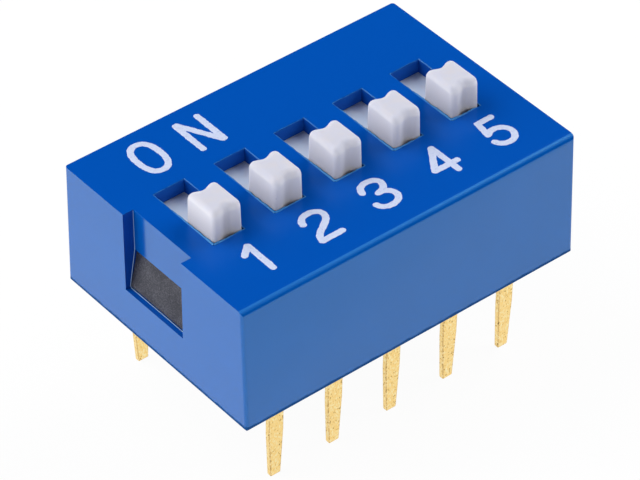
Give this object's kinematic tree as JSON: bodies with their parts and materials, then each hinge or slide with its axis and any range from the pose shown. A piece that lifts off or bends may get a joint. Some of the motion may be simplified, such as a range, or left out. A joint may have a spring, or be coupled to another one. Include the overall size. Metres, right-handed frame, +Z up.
{
  "type": "slide switch",
  "caption": "Rectangular moulded housing with a row of raised slide actuators in slots, over two rows of flat through-hole terminals.",
  "frame": {"origin": "centre of the seating plane, at the cover's lower rim", "axes": "+X along the row from position 1 to position 5, +Y from the number side (off) to the ON side, +Z up from the board"},
  "size_m": [0.0142, 0.0098, 0.0103],
  "materials": {
    "blue_plastic": "satin moulded thermoplastic",
    "black_plastic": "matte moulded thermoplastic",
    "white_plastic": "satin moulded thermoplastic",
    "spring_bronze": "bright spring strip",
    "gold_plate": "gold-plated strip with a speckled surface"
  },
  "bodies": {
    "housing": {"cover": "blue_plastic", "base": "black_plastic", "terminal_front_1": "gold_plate", "terminal_front_2": "gold_plate", "terminal_front_3": "gold_plate", "terminal_front_4": "gold_plate", "terminal_front_5": "gold_plate", "terminal_rear_1": "gold_plate", "terminal_rear_2": "gold_plate", "terminal_rear_3": "gold_plate", "terminal_rear_4": "gold_plate", "terminal_rear_5": "gold_plate"},
    "slider_1": {"actuator_1": "white_plastic", "moving_contact_1": "spring_bronze"},
    "slider_2": {"actuator_2": "white_plastic", "moving_contact_2": "spring_bronze"},
    "slider_3": {"actuator_3": "white_plastic", "moving_contact_3": "spring_bronze"},
    "slider_4": {"actuator_4": "white_plastic", "moving_contact_4": "spring_bronze"},
    "slider_5": {"actuator_5": "white_plastic", "moving_contact_5": "spring_bronze"}
  },
  "joints": [
    {"name": "slide_1", "type": "slide", "parent": "housing", "child": "slider_1", "axis": [0, 1, 0], "range_m": [0, 0.00168]},
    {"name": "slide_2", "type": "slide", "parent": "housing", "child": "slider_2", "axis": [0, 1, 0], "range_m": [0, 0.00168]},
    {"name": "slide_3", "type": "slide", "parent": "housing", "child": "slider_3", "axis": [0, 1, 0], "range_m": [0, 0.00168]},
    {"name": "slide_4", "type": "slide", "parent": "housing", "child": "slider_4", "axis": [0, 1, 0], "range_m": [0, 0.00168]},
    {"name": "slide_5", "type": "slide", "parent": "housing", "child": "slider_5", "axis": [0, 1, 0], "range_m": [0, 0.00168]}
  ]
}
